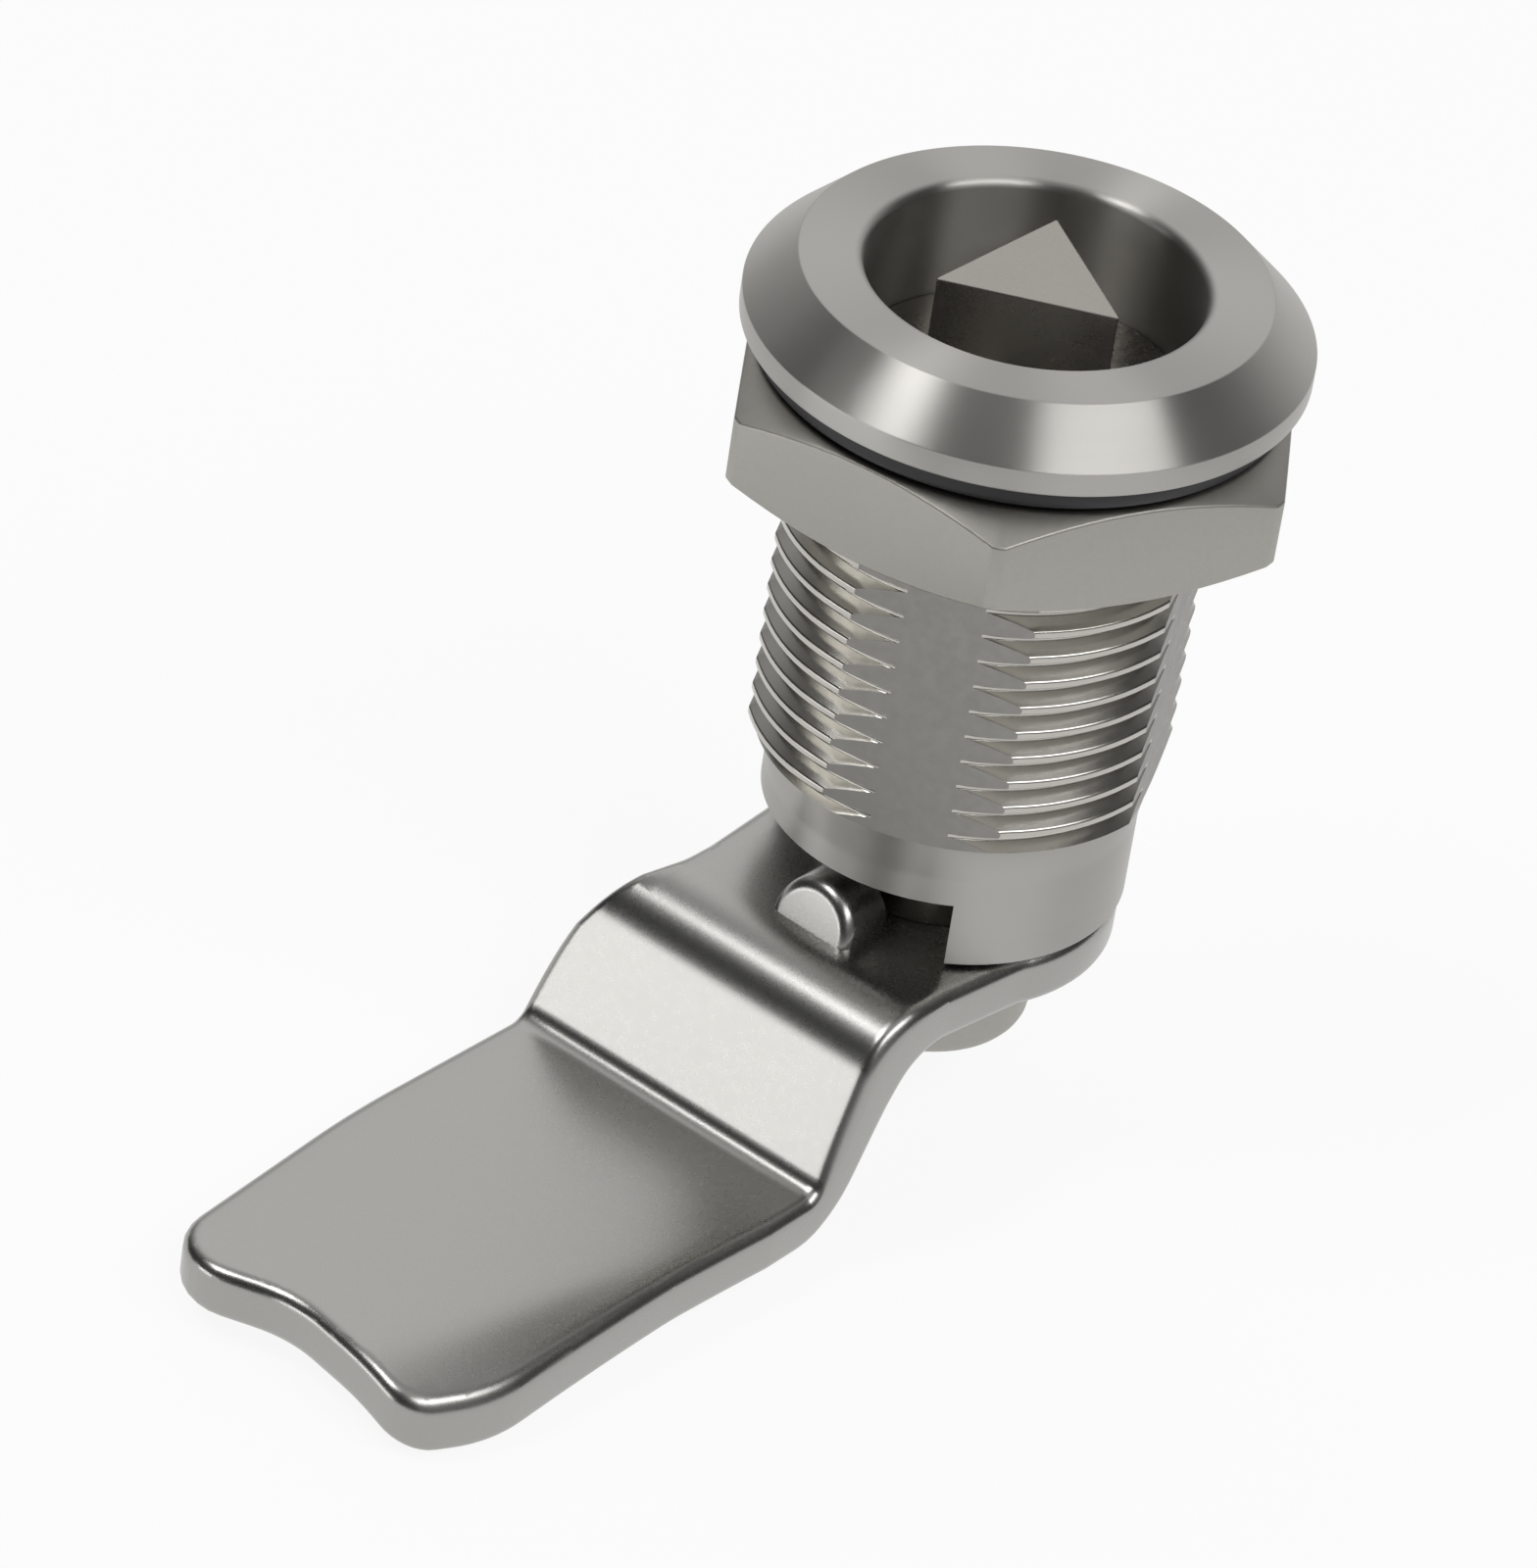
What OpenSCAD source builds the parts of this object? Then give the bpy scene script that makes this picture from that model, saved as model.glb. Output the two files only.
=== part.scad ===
// Quarter-turn cam lock for an enclosure door, worked with a triangle key.
// The origin is on the lock's axis, in the plane where the head sits on the panel.
// +Z points out of the door, and the cam points along -Y.

/* [Head] */
// Diameter of the head
head_d = 28.4; // [26:0.1:34]
// Height of the head above the panel
head_h = 3.75; // [3.2:0.05:6]
// Height of the straight rim below the bevel
head_rim_h = 1.3; // [0.8:0.1:2.4]
// Diameter of the flat ring on top of the head
head_face_d = 23.7; // [20:0.1:25]
// Chamfer round the mouth of the key recess
recess_chamfer = 0.45; // [0.2:0.05:0.8]

/* [Threaded body] */
// Outer diameter of the thread
thread_d = 22; // [21.6:0.1:24]
// Pitch of the thread
thread_pitch = 1.5; // [1.25:0.25:2]
// Depth of the thread groove
thread_depth = 0.8; // [0.5:0.05:1]
// Width of the flat at the bottom of the thread groove
thread_root_w = 0.2; // [0.1:0.05:0.3]
// Included angle of the thread groove
thread_angle = 60; // [50:1:62]
// Height of the plain neck between the head and the first thread
undercut_h = 1.5; // [1:0.1:3]
// Distance across the four flats milled on the thread
flats_af = 20; // [19.6:0.1:21]
// Turn of the flats, and of the stops in line with them, about the axis
flats_turn = 25.9; // [0:0.1:45]
// Depth below the panel seat at which the thread and its flats end
thread_end = 24; // [20:0.1:24.5]
// Height of the chamfer at the end of the thread
thread_chamfer = 0.7; // [0.3:0.1:1.2]
// Depth below the panel seat at which the collar's taper ends
taper_end = 26.2; // [25:0.1:27]
// Diameter of the plain collar below the thread
collar_d = 19.2; // [17:0.1:19.6]
// Length of the body below the panel seat
body_len = 31.3; // [31:0.1:40]
// Height of the stop notch in the collar
notch_h = 3.65; // [3.2:0.05:4]

/* [Spindle] */
// Diameter of the bore in the head, which the spindle's barrel fills
bore_d = 17; // [16:0.1:17.4]
// Height of the triangle that the key fits over
key_h = 8; // [6.5:0.5:9]
// Blunting of the triangle's corners
key_blunt = 0.12; // [0.05:0.01:0.5]
// Depth of the key recess below the top of the head
recess_depth = 6.35; // [5:0.05:8]
// Drop of the triangle's end below the top of the head
key_drop = 0; // [0:0.05:1]
// Length of the barrel that turns in the bore
barrel_len = 6.4; // [5:0.1:9]
// Diameter of the shaft below the barrel
shaft_d = 12; // [11.6:0.1:13]
// Side of the square that drives the cam
square_side = 8; // [7:0.1:8.1]
// Thickness of the sealing ring round the barrel
o_ring_t = 1.5; // [1:0.1:2]
// Room left beside the sealing ring along its groove
o_ring_room = 0.15; // [0.1:0.05:0.4]

/* [Cam] */
// Thickness of the cam plate
cam_t = 3; // [2.8:0.1:4]
// Drop from the upper plate to the blade
cam_drop = 8.7; // [7:0.1:16]
// Radius of the round end about the axis
lobe_r = 9.4; // [9.3:0.05:11]
// Half width of the neck
neck_half = 8.35; // [7.4:0.05:8.8]
// Distance from the axis to the start of the bend on the top side
bend_start = 13.4; // [13:0.1:16]
// Run of the slope on the top side
bend_run = 3.7; // [2:0.1:6]
// Distance from the axis to the start of the bend on the underside
under_start = 10.7; // [10:0.1:12]
// Run of the slope on the underside
under_run = 5.1; // [3:0.1:7]
// Radius of the upper bend on the top side
upper_bend_r = 4.2; // [1:0.1:5]
// Radius of the lower bend on the top side
lower_bend_r = 1.2; // [1:0.1:4]
// Radius of the upper bend on the underside
upper_under_r = 3.4; // [1:0.1:4.5]
// Radius of the lower bend on the underside
lower_under_r = 4.9; // [2:0.1:5]
// Skew of the two bends across the cam
bend_skew = 1.6; // [0:0.1:5]
// Rounding where the neck leaves the round end
neck_blend_r = 8; // [4:0.5:10]
// Distance from the axis at which the left side starts to flare
flare_start = 11.2; // [10.5:0.1:12]
// Length of the flare along the cam
flare_run = 4.9; // [4:0.1:7]
// Rounding where the flare starts
flare_hollow_r = 4.9; // [2:0.1:5]
// Rounding where the flare ends
flare_shoulder_r = 4; // [1:0.1:5]
// Reach of the blade's left corner from the axis, before it is rounded
blade_reach = 46; // [42:0.1:80]
// Length by which the blade's right corner is shorter than the left one
right_short = 1.7; // [0.5:0.1:3]
// Length by which the hollow in the blade's end is shorter than the left corner
hollow_back = 2.7; // [2.2:0.1:4]
// Distance from the axis to the hollow, towards the left
hollow_side = 2.8; // [0:0.1:4]
// Rounding of the hollow
hollow_r = 3; // [2:0.5:8]
// Blade's left half width
blade_left = 11.7; // [10:0.1:14]
// Distance from the axis at which the left side starts to lean in
lean_start = 30; // [24:0.5:34]
// Amount by which the left side leans in at the blade's end
left_lean = 1.6; // [0.5:0.1:2]
// Rounding where the left side starts to lean in
lean_r = 60; // [20:5:100]
// Blade's right half width
blade_right = 8.2; // [7.5:0.05:8.4]
// Distance from the axis at which the right side has that width
right_start = 27; // [24:0.5:34]
// Rounding where the right side reaches that width
right_side_r = 40; // [20:5:60]
// Swell of the right side below the bends
right_swell = 0.2; // [0.2:0.1:0.8]
// Distance from the axis to the swell
swell_at = 20.4; // [17.5:0.1:21]
// Rounding of the swell
swell_r = 4.5; // [3:0.5:10]
// Rounding of the right side at the bends
waist_r = 12; // [6:1:20]
// Radius of the left corner at the blade's end
left_corner_r = 3.2; // [1:0.1:4]
// Radius of the right corner at the blade's end
right_corner_r = 2.1; // [1:0.1:3]
// Width cut off the blade's right corner
corner_cut_w = 2; // [1:0.1:3]
// Length cut off the blade's right corner
corner_cut_l = 4.5; // [3:0.1:6]
// Rounding where the cut meets the blade's right side
corner_cut_r = 6; // [2:0.5:8]
// Radius to which the right side of the blade is rolled down
roll_r = 16; // [12:0.5:40]
// Distance from the axis at which the roll starts
roll_start = 19.2; // [18:0.1:24]
// Turn of the roll's edge away from the blade's side
roll_turn = 16.6; // [0:0.1:18]

/* [Stop] */
// Width of the raised stop on the cam
stop_w = 5; // [4:0.1:5.6]
// Distance from the axis to the stop's outer end
stop_reach = 10.15; // [9.8:0.05:11]
// Length of the stop
stop_len = 3.3; // [2:0.1:3.6]
// Play left at each end of the quarter turn, on each side of the stop
stop_play = 0.25; // [0.05:0.05:0.5]

/* [Nut, seals and screw] */
// Width of the nut across its flats
nut_af = 27; // [26.5:0.5:32]
// Height of the nut
nut_h = 5.5; // [4:0.1:8]
// Turn of the nut's corners about the axis
nut_turn = 7; // [0:1:60]
// Diameter of the bearing face that the nut's chamfers leave
nut_face_d = 26.6; // [25:0.1:26.9]
// Angle of the nut's chamfers
nut_chamfer_angle = 25; // [15:1:35]
// Turned-off height of the nut's corners
nut_corner_trim = 0.18; // [0.05:0.01:0.5]
// Depth of the countersink at each end of the nut's bore
nut_countersink = 0.5; // [0.2:0.1:0.8]
// Outer diameter of the head's gasket
gasket_d = 27; // [25.5:0.1:28]
// Thickness of the gasket
gasket_t = 1.3; // [0.8:0.1:3]
// Gap left between the gasket and the nut for the panel
panel_gap = 0.2; // [0.2:0.1:12]
// Thread diameter of the cam screw
screw_d = 6; // [5:0.5:6]
// Length of the cam screw below its head
screw_len = 14; // [12:0.5:18]
// Diameter of the cam screw's head
screw_head_d = 11.6; // [9:0.1:12]
// Height of the cam screw's head
screw_head_h = 4; // [2.6:0.1:5]
// Rounding of the cam screw's head
screw_head_r = 1; // [0.4:0.1:1.4]
// Width of the hexagon socket in the cam screw
socket_af = 4; // [3:0.5:5]
// Depth of the hexagon socket
socket_depth = 2; // [1:0.1:2.2]
// Outer diameter of the spring washer
washer_d = 11.8; // [10:0.1:12]
// Thickness of the spring washer
washer_t = 1.6; // [1:0.1:2]
// Width of the split in the spring washer
washer_split = 0.8; // [0.4:0.1:2]

/* [Fits] */
// Radial clearance of pieces that turn or slide on each other
run_clearance = 0.05; // [0.02:0.01:0.1]
// Radial clearance of pieces that only pass through each other
pass_clearance = 0.1; // [0.05:0.01:0.3]
// Gap between the collar and the cam below it
cam_gap = 0.2; // [0.1:0.05:0.3]
// Gap between the end of the square and the washer, so that the washer presses on the cam
clamp_gap = 0.3; // [0.2:0.05:0.5]

/* [Hidden] */
$fn = 96;

// Overlap by which a cut passes through a face
cut = 1;
// Steps in each round corner of an outline
arc_steps = 10;
// Places along the axis
recess_z = head_h - recess_depth;
ledge_z = recess_z - barrel_len - run_clearance;
cam_z = -body_len - cam_gap;
blade_z = cam_z - cam_drop;
washer_z = cam_z - cam_t;
screw_z = washer_z - washer_t;
nut_z = -gasket_t - panel_gap;
// Radii
thread_r = thread_d/2;
root_r = thread_r - thread_depth;
collar_r = collar_d/2;
// Top of the collar's taper, just inside the flats
taper_top_r = flats_af/2 - run_clearance;
bore_r = bore_d/2;
shaft_r = shaft_d/2;
key_r = key_h*2/3;
stop_r = stop_w/2;
notch_edge = stop_r + stop_play;
// Reach of a cut that clears the whole body
clear_r = head_d;
// Sealing ring and the groove that holds it
o_ring_mid_r = bore_r - run_clearance/2 - o_ring_t/2;
groove_r = o_ring_mid_r - o_ring_t/2 - run_clearance/2;
groove_w = o_ring_t + 2*o_ring_room;
groove_z = recess_z - barrel_len/2;
// Square end of the spindle and the tapped hole in it
square_len = cam_t - clamp_gap;
tap_depth = screw_len - washer_t + cut;
// Thread grooves, as many as there is room for above the chamfer
groove_half = thread_root_w/2 + thread_depth*tan(thread_angle/2);
crest_end = thread_end - thread_chamfer;
groove_count = floor((crest_end - groove_half - undercut_h)/thread_pitch);
// Angle on the cam's round end at which the neck leaves it
neck_angle = 20;

function groove_points(mid) =
    [[thread_r, -mid + groove_half], [root_r, -mid + thread_root_w/2],
     [root_r, -mid - thread_root_w/2], [thread_r, -mid - groove_half]];

// Half angle from which a corner counts as straight and stays as it is
straight_half = 89.9;
// Outline through corner points [x, y, radius], with each corner rounded by its radius
function unit(v) = v/norm(v);
function corner_arc(before, corner, after) =
    let (p = [corner[0], corner[1]], r = corner[2],
         a = unit([before[0], before[1]] - p), b = unit([after[0], after[1]] - p),
         half = acos(max(min(a*b, 1), -1))/2)
    r == 0 || half > straight_half ? [p]
        : let (reach = r/tan(half), mid = p + unit(a + b)*r/sin(half),
               start = p + a*reach - mid, turn = a[0]*b[1] - a[1]*b[0] > 0 ? -1 : 1,
               sweep = turn*(180 - 2*half))
          [for (i = [0:arc_steps])
              let (t = sweep*i/arc_steps)
              mid + [start[0]*cos(t) - start[1]*sin(t), start[0]*sin(t) + start[1]*cos(t)]];
function rounded(points) =
    let (n = len(points))
    [for (i = [0:n - 1])
        each corner_arc(points[(i + n - 1)%n], points[i], points[(i + 1)%n])];

// Threaded body: neck, thread grooves, end chamfer, taper and collar, revolved as one profile
module body_profile() {
    groove_mids = [for (i = [1:groove_count]) undercut_h + i*thread_pitch];
    polygon(concat(
        [[0, 0], [root_r, 0], [root_r, -undercut_h], [thread_r, -undercut_h - thread_depth]],
        [for (mid = groove_mids) each groove_points(mid)],
        [[thread_r, -crest_end], [taper_top_r, -thread_end], [collar_r, -taper_end],
         [collar_r, -body_len], [0, -body_len]]));
}

module head_profile() {
    polygon([[0, -cut], [collar_r, -cut], [collar_r, 0], [head_d/2, 0], [head_d/2, head_rim_h],
             [head_face_d/2, head_h], [0, head_h]]);
}

// Four flats milled down the thread, which leave the collar round
module flats() {
    translate([-flats_af/2, -flats_af/2, -body_len - cut])
        cube([flats_af, flats_af, body_len + cut]);
}

module recess_mouth() {
    translate([0, 0, head_h - recess_chamfer])
        cylinder(r1 = bore_r, r2 = bore_r + recess_chamfer + cut, h = recess_chamfer + cut);
}

// Quadrant milled from the collar, in which the cam's stop swings a quarter turn
module stop_notch() {
    translate([-clear_r, -clear_r, -body_len - cut])
        cube([clear_r + notch_edge, clear_r + notch_edge, notch_h + cut]);
}

module housing() {
    color([0.66, 0.65, 0.62]) difference() {
        union() {
            rotate_extrude() head_profile();
            rotate([0, 0, flats_turn]) intersection() {
                rotate_extrude() body_profile();
                flats();
            }
        }
        translate([0, 0, ledge_z]) cylinder(r = bore_r, h = head_h - ledge_z + cut);
        translate([0, 0, -body_len - cut])
            cylinder(r = shaft_r + run_clearance, h = body_len + cut);
        recess_mouth();
        rotate([0, 0, flats_turn]) stop_notch();
    }
}

module ring(outer_r, inner_r, height) {
    difference() {
        cylinder(r = outer_r, h = height);
        translate([0, 0, -cut]) cylinder(r = inner_r, h = height + 2*cut);
    }
}

module head_gasket() {
    color([0.09, 0.09, 0.1]) translate([0, 0, -gasket_t])
        ring(gasket_d/2, thread_r + pass_clearance, gasket_t);
}

// Turned envelope of the nut: both faces chamfered down towards the corners
module nut_envelope(outer_r) {
    drop = (outer_r - nut_face_d/2)*tan(nut_chamfer_angle);
    rotate_extrude() polygon([[0, 0], [nut_face_d/2, 0], [outer_r, drop],
                              [outer_r, nut_h - drop], [nut_face_d/2, nut_h], [0, nut_h]]);
}

module nut_bore() {
    nut_bore_r = thread_r + run_clearance;
    wide_r = nut_bore_r + nut_countersink + cut;
    translate([0, 0, -cut]) cylinder(r = nut_bore_r, h = nut_h + 2*cut);
    translate([0, 0, -cut]) cylinder(r1 = wide_r, r2 = nut_bore_r, h = nut_countersink + cut);
    translate([0, 0, nut_h - nut_countersink])
        cylinder(r1 = nut_bore_r, r2 = wide_r, h = nut_countersink + cut);
}

module hex_nut() {
    corner_r = nut_af/2/cos(30);
    color([0.68, 0.67, 0.64]) translate([0, 0, nut_z - nut_h]) difference() {
        intersection() {
            rotate([0, 0, nut_turn]) cylinder(r = corner_r, h = nut_h, $fn = 6);
            nut_envelope(corner_r - nut_corner_trim);
        }
        nut_bore();
    }
}

// Triangle that the key turns, standing in the recess
module key_triangle() {
    translate([0, 0, recess_z - cut]) linear_extrude(recess_depth - key_drop + cut)
        intersection() {
            circle(r = key_r, $fn = 3);
            circle(r = key_r - key_blunt);
        }
}

module spindle_turned() {
    barrel_r = bore_r - run_clearance;
    rotate_extrude() polygon([
        [0, recess_z], [barrel_r, recess_z],
        [barrel_r, groove_z + groove_w/2], [groove_r, groove_z + groove_w/2],
        [groove_r, groove_z - groove_w/2], [barrel_r, groove_z - groove_w/2],
        [barrel_r, recess_z - barrel_len], [shaft_r, recess_z - barrel_len],
        [shaft_r, cam_z], [0, cam_z]]);
}

module spindle() {
    color([0.62, 0.61, 0.58]) difference() {
        union() {
            key_triangle();
            spindle_turned();
            translate([-square_side/2, -square_side/2, cam_z - square_len])
                cube([square_side, square_side, square_len + cut]);
        }
        translate([0, 0, cam_z - square_len - cut])
            cylinder(r = screw_d/2 + run_clearance, h = tap_depth + cut);
    }
}

module spindle_o_ring() {
    color([0.1, 0.1, 0.1]) translate([0, 0, groove_z])
        rotate_extrude() translate([o_ring_mid_r, 0]) circle(r = o_ring_t/2, $fn = 32);
}

// Side view of the cam plate: upper plate, slope and blade, as [y, z]
module cam_side() {
    far = blade_reach + 2*cut;
    polygon(rounded([
        [lobe_r + cut, cam_z, 0],
        [-bend_start, cam_z, upper_bend_r],
        [-bend_start - bend_run, blade_z, lower_bend_r],
        [-far, blade_z, 0],
        [-far, blade_z - cam_t, 0],
        [-under_start - under_run, blade_z - cam_t, lower_under_r],
        [-under_start, cam_z - cam_t, upper_under_r],
        [lobe_r + cut, cam_z - cam_t, 0]]));
}

module cam_bent_plate() {
    wide = 2*(blade_left + lobe_r);
    rotate([0, 0, bend_skew]) rotate([90, 0, 90])
        linear_extrude(wide, center = true) cam_side();
}

// Top view of the cam: round end, neck, and a blade that widens to the left
module cam_outline() {
    neck_x = lobe_r*cos(neck_angle);
    neck_y = -lobe_r*sin(neck_angle);
    circle(r = lobe_r);
    polygon(rounded([
        [-neck_x, neck_y, 0],
        [-neck_half, -neck_half, neck_blend_r],
        [-neck_half, -flare_start, flare_hollow_r],
        [-blade_left, -flare_start - flare_run, flare_shoulder_r],
        [-blade_left, -lean_start, lean_r],
        [-blade_left + left_lean, -blade_reach, left_corner_r],
        [-hollow_side, -blade_reach + hollow_back, hollow_r],
        [blade_right - corner_cut_w, -blade_reach + right_short, right_corner_r],
        [blade_right, -blade_reach + right_short + corner_cut_l, corner_cut_r],
        [blade_right, -right_start, right_side_r],
        [neck_half + right_swell, -swell_at, swell_r],
        [neck_half, -bend_start, waist_r],
        [neck_half, -neck_half, neck_blend_r],
        [neck_x, neck_y, 0]]));
}

module at_roll() {
    translate([neck_half, -roll_start, 0]) rotate([0, 0, -roll_turn]) children();
}

// Everything to the right of the line along which the blade starts to roll down
module beyond_roll() {
    at_roll() translate([0, -blade_reach, blade_z - roll_r])
        cube([roll_r, blade_reach, roll_r + cut]);
}

module rolled_side() {
    at_roll() translate([0, 0, blade_z - roll_r]) rotate([90, 0, 0])
        ring(roll_r, roll_r - cam_t, blade_reach);
}

// Raised stop: a half-round lying along the cam, with a flat outer end
module cam_stop() {
    translate([0, -stop_reach + stop_len, cam_z]) rotate([90, 0, 0])
        cylinder(r = stop_r, h = stop_len);
}

module cam() {
    hole = square_side + 2*run_clearance;
    tall = cam_drop + cam_t + roll_r;
    color([0.64, 0.63, 0.6]) difference() {
        union() {
            intersection() {
                translate([0, 0, cam_z - tall]) linear_extrude(tall + cut) cam_outline();
                union() {
                    difference() {
                        cam_bent_plate();
                        beyond_roll();
                    }
                    intersection() {
                        rolled_side();
                        beyond_roll();
                    }
                }
            }
            cam_stop();
        }
        translate([-hole/2, -hole/2, cam_z - cam_t - cut]) cube([hole, hole, cam_t + 2*cut]);
    }
}

module spring_washer() {
    inner_r = screw_d/2 + pass_clearance;
    color([0.5, 0.5, 0.5]) translate([0, 0, washer_z - washer_t]) difference() {
        ring(washer_d/2, inner_r, washer_t);
        translate([0, -washer_split/2, -cut]) cube([washer_d, washer_split, washer_t + 2*cut]);
    }
}

module cam_screw() {
    head_r = screw_head_d/2;
    low = screw_z - screw_head_h;
    color([0.6, 0.6, 0.58]) difference() {
        union() {
            rotate_extrude() intersection() {
                polygon(rounded([[-head_r, screw_z, 0], [head_r, screw_z, 0],
                                 [head_r, low, screw_head_r], [-head_r, low, screw_head_r]]));
                translate([0, low]) square([head_r, screw_head_h]);
            }
            translate([0, 0, screw_z - cut]) cylinder(r = screw_d/2, h = screw_len + cut);
        }
        translate([0, 0, low - cut])
            cylinder(r = socket_af/2/cos(30), h = socket_depth + cut, $fn = 6);
    }
}

housing();
head_gasket();
hex_nut();
spindle();
spindle_o_ring();
cam();
spring_washer();
cam_screw();
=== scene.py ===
# Quarter-turn cam lock: the looks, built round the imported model.
from math import acos, atan2, cos, hypot, pi, radians, sin, sqrt, tan

import bmesh
import bpy
from mathutils import Matrix, Vector


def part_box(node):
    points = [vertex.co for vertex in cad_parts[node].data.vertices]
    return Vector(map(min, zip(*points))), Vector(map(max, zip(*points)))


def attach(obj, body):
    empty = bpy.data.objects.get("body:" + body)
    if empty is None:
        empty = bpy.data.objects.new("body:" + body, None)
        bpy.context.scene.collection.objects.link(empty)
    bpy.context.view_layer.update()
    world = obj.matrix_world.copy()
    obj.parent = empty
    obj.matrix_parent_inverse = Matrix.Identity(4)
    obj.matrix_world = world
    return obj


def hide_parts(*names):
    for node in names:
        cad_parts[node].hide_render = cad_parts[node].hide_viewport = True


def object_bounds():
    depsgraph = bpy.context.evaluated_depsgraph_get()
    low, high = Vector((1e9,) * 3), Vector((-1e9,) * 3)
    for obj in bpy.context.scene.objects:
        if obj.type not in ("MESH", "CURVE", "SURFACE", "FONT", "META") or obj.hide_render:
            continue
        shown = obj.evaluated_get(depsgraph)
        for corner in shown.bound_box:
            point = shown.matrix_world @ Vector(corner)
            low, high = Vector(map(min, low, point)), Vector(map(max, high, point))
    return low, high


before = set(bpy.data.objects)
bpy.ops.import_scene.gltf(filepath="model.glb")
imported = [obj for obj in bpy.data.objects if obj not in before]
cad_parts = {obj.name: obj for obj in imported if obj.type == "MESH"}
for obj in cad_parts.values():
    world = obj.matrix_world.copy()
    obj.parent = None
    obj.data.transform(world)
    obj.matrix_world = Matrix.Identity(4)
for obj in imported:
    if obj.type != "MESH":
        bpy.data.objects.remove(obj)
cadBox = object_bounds()
mm = 0.001                                    # every size below is in millimetres
overcut = 1                                   # how far a cutting tool reaches past what it cuts
farOut = 30                                   # further sideways than what is cut there reaches
print("frame loaded:", sorted(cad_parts))


# Outlines and meshes

def unit(x, y):
    length = hypot(x, y)
    return x / length, y / length


def roundCorners(corners, steps=8):           # a closed outline's corners in order: (x, y) or (x, y, radius)
    points = []
    for i, corner in enumerate(corners):
        x, y = corner[:2]
        if len(corner) < 3:
            points.append((x, y))
            continue
        radius = corner[2]
        before, after = corners[i - 1], corners[(i + 1) % len(corners)]
        ax, ay = unit(before[0] - x, before[1] - y)
        bx, by = unit(after[0] - x, after[1] - y)
        half = acos(max(-1, min(1, ax * bx + ay * by))) / 2
        mx, my = unit(ax + bx, ay + by)
        cx, cy = x + mx * radius / sin(half), y + my * radius / sin(half)
        reach = radius / tan(half)
        start = atan2(y + ay * reach - cy, x + ax * reach - cx)
        sweep = (-1 if ax * by - ay * bx > 0 else 1) * (pi - 2 * half)
        turns = [start + sweep * k / steps for k in range(steps + 1)]
        points += [(cx + radius * cos(t), cy + radius * sin(t)) for t in turns]
    return points


def turned(x, y, angle):                      # a point turned about the axis, angle in degrees
    c, s = cos(radians(angle)), sin(radians(angle))
    return x * c - y * s, x * s + y * c


def newPiece(name, points, faces):
    mesh = bpy.data.meshes.new(name)
    mesh.from_pydata([(x * mm, y * mm, z * mm) for x, y, z in points], [], faces)
    work = bmesh.new()
    work.from_mesh(mesh)
    bmesh.ops.remove_doubles(work, verts=work.verts, dist=1e-4 * mm)
    bmesh.ops.recalc_face_normals(work, faces=work.faces)
    work.to_mesh(mesh)
    work.free()
    piece = bpy.data.objects.new(name, mesh)
    bpy.context.scene.collection.objects.link(piece)
    return piece


def loft(name, rings, closed=False):          # a skin over rings of equal count, capped unless closed
    count, size = len(rings), len(rings[0])
    faces = []
    for i in range(count if closed else count - 1):
        low, high = i * size, (i + 1) % count * size
        faces += [(low + j, low + (j + 1) % size, high + (j + 1) % size, high + j) for j in range(size)]
    if not closed:
        faces += [tuple(range(size)), tuple(range((count - 1) * size, count * size))]
    return newPiece(name, [p for ring in rings for p in ring], faces)


def lathe(name, profile, steps=180):          # profile is a closed outline of (radius, height)
    turns = [2 * pi * i / steps for i in range(steps)]
    return loft(name, [[(r * cos(t), r * sin(t), z) for r, z in profile] for t in turns], closed=True)


def prism(name, outline, low, high):
    return loft(name, [[(x, y, z) for x, y in outline] for z in (low, high)])


def bake(piece):                              # makes the modifiers part of the mesh
    graph = bpy.context.evaluated_depsgraph_get()
    mesh = bpy.data.meshes.new_from_object(piece.evaluated_get(graph))
    piece.modifiers.clear()
    piece.data = mesh


def combine(piece, tool, operation="DIFFERENCE"):
    change = piece.modifiers.new("combine", "BOOLEAN")
    change.operation, change.solver, change.object = operation, "EXACT", tool
    bake(piece)
    bpy.data.objects.remove(tool)


def bevel(piece, width, segments=3, angle=30):
    change = piece.modifiers.new("bevel", "BEVEL")
    change.width, change.segments = width * mm, segments
    change.limit_method, change.angle_limit = "ANGLE", radians(angle)
    bake(piece)


def smooth(piece, angle=30):
    piece.data.polygons.foreach_set("use_smooth", [True] * len(piece.data.polygons))
    piece.data.set_sharp_from_angle(angle=radians(angle))


def place(piece, bodyName, slotName, material, *nodes):
    piece.data.materials.clear()
    piece.data.materials.append(material)
    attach(piece, bodyName)
    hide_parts(*nodes)
    print("made", piece.name, len(piece.data.polygons), "faces")


# Materials

def add(tree, kind, **values):                # a node with its sockets or properties set
    node = tree.nodes.new(kind)
    for key, value in values.items():
        if key in node.inputs.keys():
            node.inputs[key].default_value = value
        else:
            setattr(node, key, value)
    return node


def newMaterial(name, metallic):
    material = bpy.data.materials.new(name)
    material.use_nodes = True
    tree = material.node_tree
    tree.nodes.clear()
    shader = add(tree, "ShaderNodeBsdfPrincipled", Metallic=metallic)
    tree.links.new(shader.outputs[0], add(tree, "ShaderNodeOutputMaterial").inputs[0])
    return material, tree, shader


def noise(tree, spot, scale, detail):
    texture = add(tree, "ShaderNodeTexNoise", Scale=scale, Detail=detail)
    tree.links.new(spot, texture.inputs["Vector"])
    return texture.outputs["Fac"]


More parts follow.
